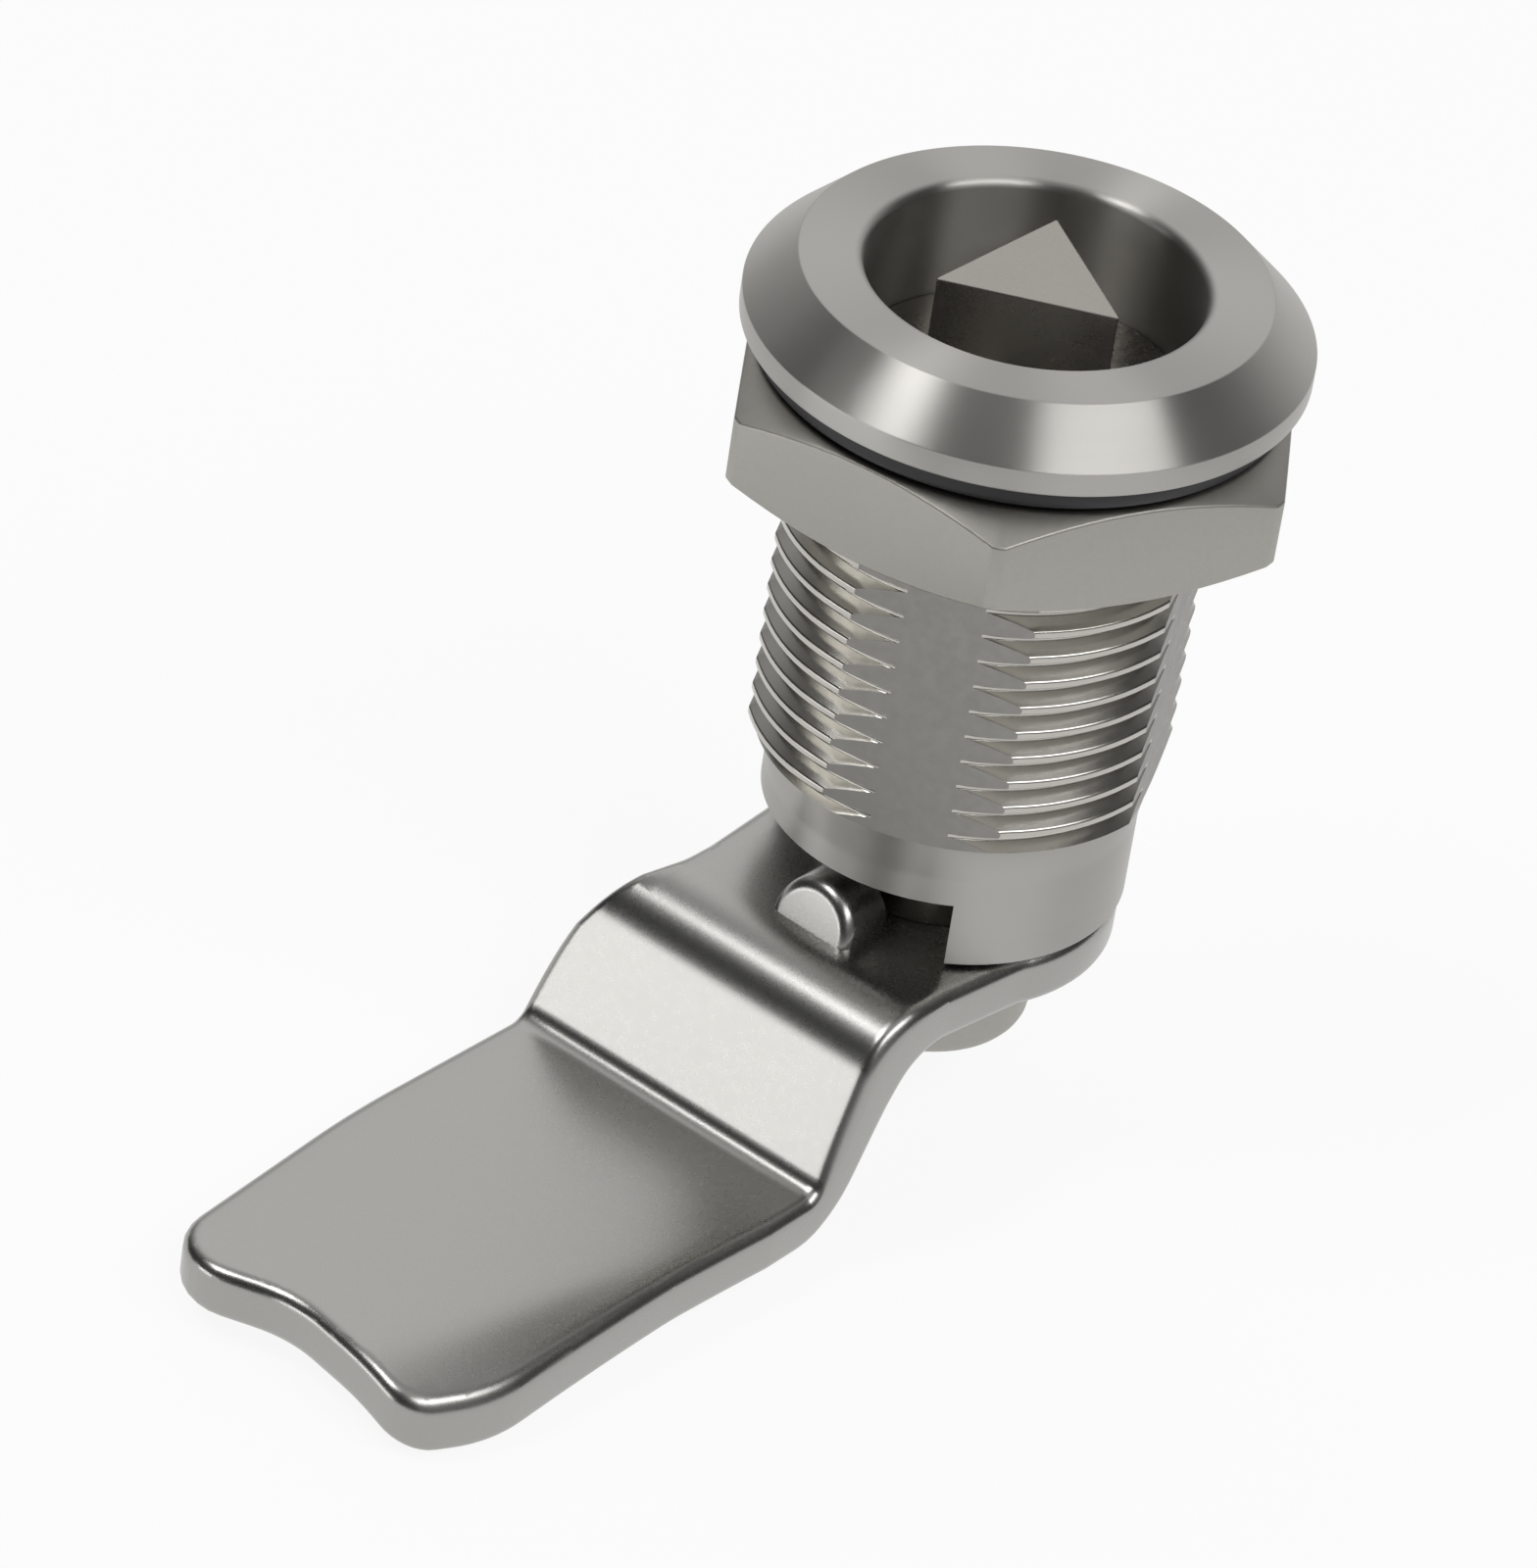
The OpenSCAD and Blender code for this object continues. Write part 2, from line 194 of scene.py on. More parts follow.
def ringSpot(tree, spot):                     # only changes with radius and height, as the tool's rings do
    link = tree.links.new
    axes = add(tree, "ShaderNodeSeparateXYZ")
    link(spot, axes.inputs[0])
    flat = add(tree, "ShaderNodeCombineXYZ")
    link(axes.outputs["X"], flat.inputs["X"])
    link(axes.outputs["Y"], flat.inputs["Y"])
    radius = add(tree, "ShaderNodeVectorMath", operation="LENGTH")
    link(flat.outputs[0], radius.inputs[0])
    ring = add(tree, "ShaderNodeCombineXYZ")
    link(radius.outputs["Value"], ring.inputs["X"])
    link(axes.outputs["Z"], ring.inputs["Y"])
    return ring.outputs[0]


def colourBy(tree, shader, look, share):
    tone = add(tree, "ShaderNodeMix", data_type="RGBA")
    tone.inputs["A"].default_value = (*look["dark"], 1)
    tone.inputs["B"].default_value = (*look["light"], 1)
    tree.links.new(share, tone.inputs["Factor"])
    tree.links.new(tone.outputs["Result"], shader.inputs["Base Color"])


def roughBy(tree, shader, look, share, low, high):
    rough = add(tree, "ShaderNodeMapRange")
    rough.inputs["From Min"].default_value = low
    rough.inputs["From Max"].default_value = high
    rough.inputs["To Min"].default_value = look["roughness"][0]
    rough.inputs["To Max"].default_value = look["roughness"][1]
    tree.links.new(share, rough.inputs["Value"])
    tree.links.new(rough.outputs[0], shader.inputs["Roughness"])


def bumpBy(tree, shader, look, height):
    bump = add(tree, "ShaderNodeBump", Strength=look["bump"], Distance=look["bumpDepth"] * mm)
    tree.links.new(height, bump.inputs["Height"])
    tree.links.new(bump.outputs[0], shader.inputs["Normal"])


def steel(name, look):
    material, tree, shader = newMaterial(name, 1.0)
    spot = add(tree, "ShaderNodeTexCoord").outputs["Object"]
    cloud = noise(tree, spot, look["cloudScale"], 3.0)
    grain = noise(tree, ringSpot(tree, spot) if "anisotropy" in look else spot, look["grainScale"], 4.0)
    mixed = add(tree, "ShaderNodeMath", operation="ADD")
    tree.links.new(cloud, mixed.inputs[0])
    tree.links.new(grain, mixed.inputs[1])
    colourBy(tree, shader, look, cloud)
    roughBy(tree, shader, look, mixed.outputs[0], 0.7, 1.3)    # two added noises mostly lie between these
    bumpBy(tree, shader, look, grain)
    if "anisotropy" in look:                  # highlights that stretch across the tool's rings
        shader.inputs["Anisotropic"].default_value = look["anisotropy"]
        shader.inputs["Anisotropic Rotation"].default_value = 0.25
        lay = add(tree, "ShaderNodeTangent", direction_type="RADIAL", axis="Z")
        tree.links.new(lay.outputs[0], shader.inputs["Tangent"])
    return material


def rubber(name, look):
    material, tree, shader = newMaterial(name, 0.0)
    spot = add(tree, "ShaderNodeTexCoord").outputs["Object"]
    grain = noise(tree, spot, look["grainScale"], 4.0)
    colourBy(tree, shader, look, grain)
    roughBy(tree, shader, look, grain, 0.0, 1.0)
    bumpBy(tree, shader, look, grain)
    return material


turnedSteel = steel("turned_steel", {         # the head and the collar
    "dark": (0.40, 0.39, 0.368), "light": (0.47, 0.46, 0.437), "roughness": (0.32, 0.38),
    "cloudScale": 90, "grainScale": 12000, "bump": 0.1, "bumpDepth": 0.01, "anisotropy": 0.95,
})
threadSteel = steel("thread_steel", {
    "dark": (0.44, 0.425, 0.39), "light": (0.56, 0.545, 0.51), "roughness": (0.2, 0.24),
    "cloudScale": 90, "grainScale": 1500, "bump": 0.02, "bumpDepth": 0.005,
})
castSteel = steel("cast_steel", {             # the flats, left as cast
    "dark": (0.30, 0.29, 0.275), "light": (0.36, 0.35, 0.335), "roughness": (0.45, 0.6),
    "cloudScale": 200, "grainScale": 1800, "bump": 0.35, "bumpDepth": 0.04,
})
nutSteel = steel("nut_steel", {               # the nut and the screw
    "dark": (0.36, 0.35, 0.32), "light": (0.42, 0.41, 0.38), "roughness": (0.4, 0.5),
    "cloudScale": 120, "grainScale": 4000, "bump": 0.1, "bumpDepth": 0.015,
})
coreSteel = steel("core_steel", {             # the triangle and its barrel
    "dark": (0.30, 0.285, 0.26), "light": (0.38, 0.365, 0.335), "roughness": (0.24, 0.34),
    "cloudScale": 150, "grainScale": 4000, "bump": 0.1, "bumpDepth": 0.015,
})
camSteel = steel("cam_steel", {
    "dark": (0.36, 0.355, 0.34), "light": (0.38, 0.375, 0.36), "roughness": (0.265, 0.285),
    "cloudScale": 45, "grainScale": 2600, "bump": 0.05, "bumpDepth": 0.01,
})
springSteel = steel("spring_steel", {
    "dark": (0.34, 0.335, 0.325), "light": (0.44, 0.43, 0.42), "roughness": (0.35, 0.5),
    "cloudScale": 120, "grainScale": 3000, "bump": 0.2, "bumpDepth": 0.02,
})
blackRubber = rubber("black_rubber", {
    "dark": (0.012, 0.012, 0.014), "light": (0.03, 0.03, 0.033), "roughness": (0.45, 0.62),
    "grainScale": 3000, "bump": 0.15, "bumpDepth": 0.03,
})
print("materials made")


# Threaded body with the head

housing = {
    "headRadius": 14.2, "rimHeight": 1.3, "faceRadius": 11.75, "mouthRound": 0.5, "edgeRound": 0.16,
    "boreRadius": 8.5, "ledge": -9.05, "shaftBore": 6.05, "neckRadius": 9.96, "neckEnd": -1.5,
    "threadRadius": 11, "threadDepth": 0.8, "pitch": 1.5, "rootHalf": 0.1, "crestRound": 0.2,
    "rootRound": 0.1, "flankAngle": 30, "threadPhase": 70, "threadEnd": -24, "chamfer": 0.7,
    "footRadius": 9.95, "taperEnd": -26.2, "taperRound": 3, "collarRadius": 9.6, "flatsHalf": 10,
    "flatsTurn": 25.9, "flatsTop": -0.6, "notchHeight": 3.65, "notchEdge": 2.75, "grooveRise": 0.2,
    "grooveSkin": 0.01, "turnGap": 0.005, "runOut": 0.2, "perTurn": 90, "roundSteps": 3,
    "sectors": 240,
}
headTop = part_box("housing")[1].z / mm
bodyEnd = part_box("housing")[0].z / mm


def housingProfile():
    h = housing
    return roundCorners([
        (h["shaftBore"], bodyEnd), (h["collarRadius"], bodyEnd, h["edgeRound"]),
        (h["collarRadius"], h["taperEnd"], h["taperRound"]), (h["footRadius"], h["threadEnd"]),
        (h["threadRadius"], h["threadEnd"] + h["chamfer"], h["edgeRound"]),
        (h["threadRadius"], h["neckEnd"] - h["threadDepth"]), (h["neckRadius"], h["neckEnd"]),
        (h["neckRadius"], 0), (h["headRadius"], 0, h["edgeRound"]),
        (h["headRadius"], h["rimHeight"], h["edgeRound"]), (h["faceRadius"], headTop, h["edgeRound"]),
        (h["boreRadius"], headTop, h["mouthRound"]), (h["boreRadius"], h["ledge"]),
        (h["shaftBore"], h["ledge"])], steps=6)


def threadGroove():                           # the helical groove as a solid, with rounded crests
    h = housing
    outside, skin = h["threadRadius"] + h["grooveRise"], h["threadRadius"] + h["grooveSkin"]
    mouth = h["rootHalf"] + (h["threadDepth"] + h["grooveSkin"]) * tan(radians(h["flankAngle"]))
    edge = h["pitch"] / 2 - h["turnGap"]
    root = h["threadRadius"] - h["threadDepth"]
    section = roundCorners([
        (root, -h["rootHalf"], h["rootRound"]), (skin, -mouth, h["crestRound"]), (skin, -edge),
        (outside, -edge), (outside, edge), (skin, edge), (skin, mouth, h["crestRound"]),
        (root, h["rootHalf"], h["rootRound"])], h["roundSteps"])
    low, high = h["threadEnd"] - h["pitch"], h["neckEnd"] + h["runOut"]
    rings = []
    for i in range(int((high - low) / h["pitch"] * h["perTurn"])):
        t = 2 * pi * i / h["perTurn"] + radians(h["threadPhase"])
        z = low + h["pitch"] * i / h["perTurn"]
        rings.append([(r * cos(t), r * sin(t), z + dz) for r, dz in section])
    return loft("groove", rings)


def flatsTool():                              # a square tube, which leaves the four flats
    inner, top, bottom = housing["flatsHalf"], housing["flatsTop"], bodyEnd - 2 * overcut
    profile = [(inner, bottom), (farOut, bottom), (farOut, top), (inner, top)]
    rings = []
    for sx, sy in ((1, 1), (-1, 1), (-1, -1), (1, -1)):
        rings.append([(*turned(r * sx, r * sy, housing["flatsTurn"]), z) for r, z in profile])
    return loft("flats", rings, closed=True)


def notchTool():
    edge, far, turn = housing["notchEdge"], -farOut, housing["flatsTurn"]
    outline = [turned(x, y, turn) for x, y in ((far, far), (edge, far), (edge, edge), (far, edge))]
    return prism("notch", outline, bodyEnd - overcut, bodyEnd + housing["notchHeight"])


def finishThread(piece):                      # the thread and the flats have surfaces of their own
    piece.data.materials.append(threadSteel)
    piece.data.materials.append(castSteel)
    near, half = 0.01, housing["flatsHalf"]
    outward = [Vector((*turned(1, 0, housing["flatsTurn"] + 90 * side), 0)) for side in range(4)]
    for face in piece.data.polygons:
        middle = face.center / mm
        threaded = housing["threadEnd"] < middle.z < housing["neckEnd"]
        if threaded and middle.xy.length > half - near:
            face.material_index = 1
        for way in outward:
            if face.normal.dot(way) > 1 - near and abs(middle.dot(way) - half) < near:
                face.material_index = 2
                face.use_smooth = False


threadedBody = lathe("threaded_body", housingProfile(), housing["sectors"])
combine(threadedBody, threadGroove())
combine(threadedBody, flatsTool())
combine(threadedBody, notchTool())
smooth(threadedBody)
place(threadedBody, "body", "body_steel", turnedSteel, "housing")
finishThread(threadedBody)


# Gasket under the head

gasket = {"inner": 11.0, "outer": 13.5, "thick": 1.3, "edgeRound": 0.45}
gasketRing = lathe("rubber_gasket", roundCorners([
    (gasket["inner"], -gasket["thick"]), (gasket["outer"], -gasket["thick"], gasket["edgeRound"]),
    (gasket["outer"], 0, gasket["edgeRound"]), (gasket["inner"], 0)], steps=6))
smooth(gasketRing)
place(gasketRing, "body", "black_rubber", blackRubber, "head_gasket")


# Hexagon nut

nut = {
    "flatRadius": 13.5, "turn": 7, "faceRadius": 13.3, "chamferAngle": 25, "cornerTrim": 0.18,
    "boreRadius": 10.95, "countersink": 0.5, "edgeRound": 0.12, "perSide": 14, "bevelSteps": 3,
    "bevelAngle": 18, "smoothAngle": 24,
}
nutLow, nutHigh = (corner.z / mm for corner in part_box("hex_nut"))


def nutReach(angle):                          # how far out the outline lies, in degrees from a corner
    cornerRadius = nut["flatRadius"] / cos(pi / 6)
    return min(nut["flatRadius"] / cos(radians(30 - angle % 60)), cornerRadius - nut["cornerTrim"])


def makeNut():
    trimmed = nut["flatRadius"] / cos(pi / 6) - nut["cornerTrim"]
    edge = 30 - acos(nut["flatRadius"] / trimmed) * 180 / pi
    side = [edge + (60 - 2 * edge) * i / nut["perSide"] for i in range(nut["perSide"] + 1)]
    rings = []
    for corner in range(6):
        for angle in [0] + side:
            reach = nutReach(angle)
            drop = (reach - nut["faceRadius"]) * tan(radians(nut["chamferAngle"]))
            mouth = nut["boreRadius"] + nut["countersink"]
            profile = [
                (nut["boreRadius"], nutLow + nut["countersink"]), (mouth, nutLow),
                (nut["faceRadius"], nutLow), (reach, nutLow + drop), (reach, nutHigh - drop),
                (nut["faceRadius"], nutHigh), (mouth, nutHigh),
                (nut["boreRadius"], nutHigh - nut["countersink"])]
            turn = radians(nut["turn"] + 60 * corner + angle)
            rings.append([(r * cos(turn), r * sin(turn), z) for r, z in profile])
    return loft("panel_nut", rings, closed=True)


panelNut = makeNut()
bevel(panelNut, nut["edgeRound"], nut["bevelSteps"], nut["bevelAngle"])
smooth(panelNut, nut["smoothAngle"])
place(panelNut, "nut", "nut_steel", nutSteel, "hex_nut")


# Turning core with the triangle

core = {
    "barrelRadius": 8.45, "floor": -2.6, "barrelEnd": -9.0, "shaftRadius": 6, "squareHalf": 4,
    "squareLength": 2.7, "keyRadius": 5.333, "keyBlunt": 0.12, "keyTop": 3.75, "edgeRound": 0.1,
    "grooveTop": -4.9, "grooveEnd": -6.7, "grooveRadius": 6.95, "camGap": 0.2, "bevelSteps": 2,
    "bevelAngle": 40,
}
camTop = bodyEnd - core["camGap"]


def keyOutline():                             # a triangle with its corners turned down to a small flat arc
    outline = []
    reach = core["keyRadius"] - core["keyBlunt"]
    half = acos(core["keyRadius"] / 2 / reach)
    spread = radians(60) - half
    for corner in (0, 120, 240):
        for t in (-spread, 0, spread):
            outline.append((reach * cos(t + radians(corner)), reach * sin(t + radians(corner))))
    return outline


def makeCore():
    c = core
    piece = lathe("turning_core", [
        (0, camTop), (c["shaftRadius"], camTop), (c["shaftRadius"], c["barrelEnd"]),
        (c["barrelRadius"], c["barrelEnd"]), (c["barrelRadius"], c["grooveEnd"]),
        (c["grooveRadius"], c["grooveEnd"]), (c["grooveRadius"], c["grooveTop"]),
        (c["barrelRadius"], c["grooveTop"]), (c["barrelRadius"], c["floor"]), (0, c["floor"])])
    combine(piece, prism("key", keyOutline(), c["floor"] - overcut, c["keyTop"]), "UNION")
    half = c["squareHalf"]
    square = [(half, half), (-half, half), (-half, -half), (half, -half)]
    combine(piece, prism("square", square, camTop - c["squareLength"], camTop + overcut), "UNION")
    return piece


turningCore = makeCore()
bevel(turningCore, core["edgeRound"], core["bevelSteps"], core["bevelAngle"])
smooth(turningCore)
facesUp = 0.99
for face in turningCore.data.polygons:        # the triangle's end stays flat
    face.use_smooth = face.normal.z < facesUp
place(turningCore, "core", "spindle_steel", coreSteel, "spindle")
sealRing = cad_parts["spindle_o_ring"]   # hidden in its groove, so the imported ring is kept
sealRing.data.materials.clear()
sealRing.data.materials.append(blackRubber)


# Bent cam

cam = {
    "thick": 3, "drop": 8.7, "lobeRadius": 9.4, "neckHalf": 8.35, "neckAngle": 20, "neckBlend": 8,
    "bendStart": 13.4, "bendRun": 3.7, "upperBend": 4.2, "lowerBend": 1.2, "underStart": 10.7,
    "underRun": 5.1, "upperUnder": 3.4, "lowerUnder": 4.9, "bendSkew": 1.6, "flareStart": 11.2,
    "flareRun": 4.9, "flareHollow": 4.9, "flareShoulder": 4, "reach": 46, "rightShort": 1.7,
    "hollowBack": 2.9, "hollowSide": 2.8, "hollowRadius": 7, "leftHalf": 11.7, "leanStart": 30,
    "leftLean": 1.6, "leanRadius": 60, "leftCorner": 3.2, "cutWide": 2, "cutLong": 4.5,
    "cutRadius": 10, "rightCorner": 2.6, "rightHalf": 8.2, "rightStart": 27, "rightSide": 40,
    "swell": 0.2, "swellAt": 20.4, "swellRadius": 4.5, "waist": 12, "rollRadius": 16,
    "rollStart": 19.2, "rollTurn": 16.6, "holeHalf": 4.05, "edgeRound": 0.8, "edgeSteps": 6,
    "arcSteps": 60, "bendSteps": 16, "spacing": 0.6, "smoothAngle": 40,
}
sideStart, sideEnd = -20, 60                  # the side outlines run from here to here along the cam
bladeTop = camTop - cam["drop"]
matchStart, matchEnd = 4, 20                  # between these the top and the underside are matched by length


def camPlan():                                # top view, in order from the right of the round end
    c = cam
    a = c["neckAngle"]
    steps = c["arcSteps"]
    arc = [turned(c["lobeRadius"], 0, -a + (180 + 2 * a) * i / steps) for i in range(steps + 1)]
    left = c["flareStart"] + c["flareRun"]
    sides = roundCorners([
        arc[-1], (-c["neckHalf"], -c["neckHalf"], c["neckBlend"]),
        (-c["neckHalf"], -c["flareStart"], c["flareHollow"]), (-c["leftHalf"], -left, c["flareShoulder"]),
        (-c["leftHalf"], -c["leanStart"], c["leanRadius"]),
        (-c["leftHalf"] + c["leftLean"], -c["reach"], c["leftCorner"]),
        (-c["hollowSide"], -c["reach"] + c["hollowBack"], c["hollowRadius"]),
        (c["rightHalf"] - c["cutWide"], -c["reach"] + c["rightShort"], c["rightCorner"]),
        (c["rightHalf"], -c["reach"] + c["rightShort"] + c["cutLong"], c["cutRadius"]),
        (c["rightHalf"], -c["rightStart"], c["rightSide"]),
        (c["neckHalf"] + c["swell"], -c["swellAt"], c["swellRadius"]),
        (c["neckHalf"], -c["bendStart"], c["waist"]), (c["neckHalf"], -c["neckHalf"], c["neckBlend"]),
        arc[0]])
    return arc + sides[1:-1]


def sideChain(start, run, firstBend, secondBend, depth):
    high, low = camTop - depth, bladeTop - depth
    chain = roundCorners([
        (-sideStart, high), (-start, high, firstBend), (-start - run, low, secondBend),
        (-sideEnd, low)], cam["bendSteps"])
    gone = sideStart                          # length along the side from the axis on
    marks = []
    for i, (y, z) in enumerate(chain):
        if i:
            gone += hypot(y - chain[i - 1][0], z - chain[i - 1][1])
        marks.append((gone, y, z))
    return marks


topSide = sideChain(cam["bendStart"], cam["bendRun"], cam["upperBend"], cam["lowerBend"], 0)
underSide = sideChain(
    cam["underStart"], cam["underRun"], cam["upperUnder"], cam["lowerUnder"], cam["thick"])


def lengthAt(marks, y):
    for (g0, y0, _), (g1, y1, _) in zip(marks, marks[1:]):
        if y1 <= y <= y0:
            return g0 + (g1 - g0) * (y0 - y) / (y0 - y1)


def pointAt(marks, length):
    for (g0, y0, z0), (g1, y1, z1) in zip(marks, marks[1:]):
        if length <= g1:
            share = (length - g0) / (g1 - g0)
            return y0 + (y1 - y0) * share, z0 + (z1 - z0) * share
    return marks[-1][1:]


topMatch = lengthAt(topSide, -matchEnd)
underMatch = lengthAt(underSide, -matchEnd)


def bent(x, length, depth):                   # from the flat plate to the bent, rolled one
    if length <= matchStart:
        under = length
    elif length >= topMatch:
        under = underMatch + length - topMatch
    else:
        under = matchStart + (length - matchStart) * (underMatch - matchStart) / (topMatch - matchStart)
    share = depth / cam["thick"]
    (y0, z0), (y1, z1) = pointAt(topSide, length), pointAt(underSide, under)
    y, z = y0 + (y1 - y0) * share, z0 + (z1 - z0) * share
    x, y = turned(x, y, cam["bendSkew"])
    across, along = turned(x - cam["neckHalf"], y + cam["rollStart"], cam["rollTurn"])
    if across > 0 > along:
        outer, inner = cam["rollRadius"], cam["rollRadius"] - cam["thick"]
        fall = outer - sqrt(outer ** 2 - across ** 2)
        z -= fall + (inner - sqrt(inner ** 2 - across ** 2) - fall) * share
    return x, y, z


def evenOutline(points, spacing):             # adds points where two lie further apart
    outline = []
    for i, (x, y) in enumerate(points):
        nx, ny = points[(i + 1) % len(points)]
        parts = max(1, int(hypot(nx - x, ny - y) / spacing + 0.5))
        outline += [(x + (nx - x) * k / parts, y + (ny - y) * k / parts) for k in range(parts)]
    return outline


def inset(points, amount):                    # points go round anticlockwise
    outline = []
    for i, (x, y) in enumerate(points):
        (x0, y0), (x1, y1) = points[i - 1], points[(i + 1) % len(points)]
        ax, ay = unit(x - x0, y - y0)
        bx, by = unit(x1 - x, y1 - y)
        tx, ty = unit(ax + bx, ay + by)
        outline.append((x - ty * amount, y + tx * amount))
    return outline


def makeCam():
    flat = []
    for x, y in camPlan():
        x, y = turned(x, y, -cam["bendSkew"])
        flat.append((x, -lengthAt(topSide, y)))
    flat = evenOutline(flat, cam["spacing"])
    rings = []
    steps, edge = cam["edgeSteps"], cam["edgeRound"]
    for i in range(steps + 1):                # underside's rounding, then the wall, then the top's rounding
        t = pi / 2 * (1 - i / steps)
        rings.append((inset(flat, edge * (1 - cos(t))), cam["thick"] - edge * (1 - sin(t))))
    for i in range(steps + 1):
        t = pi / 2 * i / steps
        rings.append((inset(flat, edge * (1 - cos(t))), edge * (1 - sin(t))))
    piece = loft("bent_cam", [[(x, y, -depth) for x, y in outline] for outline, depth in rings])
    work = bmesh.new()
    work.from_mesh(piece.data)
    overBends = [0.3 * i for i in range(24, 80)]       # rows of cuts, so that the flat plate can bend
    overBlade = [24 + 1.2 * i for i in range(25)]
    underBody = [-8, -4, 0, 3]
    across = range(-10, 9)
    planes = [((0, -row * mm, 0), (0, 1, 0)) for row in overBends + overBlade + underBody]
    planes += [((column * mm, 0, 0), (1, 0, 0)) for column in across]
    for spot, normal in planes:
        geometry = work.verts[:] + work.edges[:] + work.faces[:]
        bmesh.ops.bisect_plane(work, geom=geometry, dist=1e-4 * mm, plane_co=spot, plane_no=normal)
    for vert in work.verts:
        x, y, z = (value / mm for value in vert.co)
        vert.co = [value * mm for value in bent(x, -y, -z)]
    bmesh.ops.recalc_face_normals(work, faces=work.faces)
    work.to_mesh(piece.data)
    work.free()
    half = cam["holeHalf"]
    square = [(half, half), (-half, half), (-half, -half), (half, -half)]
    combine(piece, prism("hole", square, camTop - cam["thick"] - overcut, camTop + overcut))
    return piece


stop = {
    "radius": 2.5, "reach": 10.15, "length": 3.3, "endRound": 0.6, "lean": 0.3, "sunk": 0.6,
    "roundSteps": 8, "arcSteps": 48,
}


def makeStop():                               # a half-round along the cam with its outer end rounded
    rings = []
    for i in range(stop["roundSteps"] + 1):
        t = pi / 2 * i / stop["roundSteps"]
        less = stop["endRound"] * (1 - sin(t))
        rings.append((stop["radius"] - less, -stop["reach"] + stop["endRound"] * (1 - cos(t))))
    rings.append((stop["radius"], -stop["reach"] + stop["length"]))
    made = []
    for radius, y in rings:
        turns = [pi * k / stop["arcSteps"] for k in range(stop["arcSteps"] + 1)]
        arch = [(radius * cos(t), radius * sin(t)) for t in turns]
        outline = [(radius, -stop["sunk"])] + arch + [(-radius, -stop["sunk"])]
        lean = stop["lean"] if y < -stop["reach"] + stop["length"] else 0
        made.append([(x, y + max(z, 0) * lean, camTop + z) for x, z in outline])
    return loft("stop", made)


bentCam = makeCam()
combine(bentCam, makeStop(), "UNION")
smooth(bentCam, cam["smoothAngle"])
place(bentCam, "core", "cam_steel", camSteel, "cam")


# Spring washer and screw under the cam

washer = {"inner": 3.1, "outer": 5.9, "thick": 1.6, "splitHalf": 0.4, "edgeRound": 0.2, "steps": 90}
washerTop = camTop - cam["thick"]


def makeWasher():
    low = washerTop - washer["thick"]
    inner, outer = washer["inner"], washer["outer"]
    corners = [(inner, low), (outer, low), (outer, washerTop), (inner, washerTop)]
    section = roundCorners([(r, z, washer["edgeRound"]) for r, z in corners], steps=3)
    gap = washer["splitHalf"] / washer["outer"]
    turns = [gap + (2 * pi - 2 * gap) * i / washer["steps"] for i in range(washer["steps"] + 1)]
    return loft("split_washer", [[(r * cos(t), r * sin(t), z) for r, z in section] for t in turns])


splitWasher = makeWasher()
smooth(splitWasher)
place(splitWasher, "core", "spring_steel", springSteel, "spring_washer")

screw = {
    "headRadius": 5.8, "headHeight": 4, "headRound": 1, "shankRadius": 3, "shankLength": 14,
    "socketHalf": 2, "socketDepth": 2, "edgeRound": 0.12, "sectors": 120,
}
screwTop = washerTop - washer["thick"]


def makeScrew():
    s = screw
    low = screwTop - s["headHeight"]
    piece = lathe("cam_fixing_screw", roundCorners([
        (0, low), (s["headRadius"], low, s["headRound"]), (s["headRadius"], screwTop, s["edgeRound"]),
        (s["shankRadius"], screwTop), (s["shankRadius"], screwTop + s["shankLength"]),
        (0, screwTop + s["shankLength"])], steps=6), s["sectors"])
    across = s["socketHalf"] / cos(pi / 6)
    hexagon = [turned(across, 0, 60 * i) for i in range(6)]
    combine(piece, prism("socket", hexagon, low - overcut, low + s["socketDepth"]))
    return piece


camScrew = makeScrew()
smooth(camScrew)
place(camScrew, "core", "screw_steel", nutSteel, "cam_screw")


# Camera, floor and light

view = {
    "azimuth": 36.9, "elevation": 34.659, "roll": 8.844, "distance": 431.8, "right": 12.627,
    "up": 21.898, "focalPixels": 9000, "imageHeight": 1600, "sensor": 36, "clipStart": 0.01,
    "clipEnd": 20,
}


def makeCamera():
    a, e, r = (radians(view[key]) for key in ("azimuth", "elevation", "roll"))
    back = Vector((sin(a) * cos(e), -cos(a) * cos(e), sin(e)))
    level = Vector((cos(a), sin(a), 0))
    upright = back.cross(level)
    right = level * cos(r) + upright * sin(r)
    up = upright * cos(r) - level * sin(r)
    spot = back * view["distance"] - right * view["right"] - up * view["up"]
    data = bpy.data.cameras.new("camera")
    data.sensor_width = view["sensor"]
    data.lens = view["focalPixels"] * view["sensor"] / view["imageHeight"]
    data.clip_start, data.clip_end = view["clipStart"], view["clipEnd"]
    camera = bpy.data.objects.new("camera", data)
    bpy.context.scene.collection.objects.link(camera)
    camera.matrix_world = Matrix((
        (right.x, up.x, back.x, spot.x * mm), (right.y, up.y, back.y, spot.y * mm),
        (right.z, up.z, back.z, spot.z * mm), (0, 0, 0, 1)))
    bpy.context.scene.camera = camera


paper = {"gap": 0.02, "halfSize": 3000, "shade": 0.9, "whiteShare": 0.9}


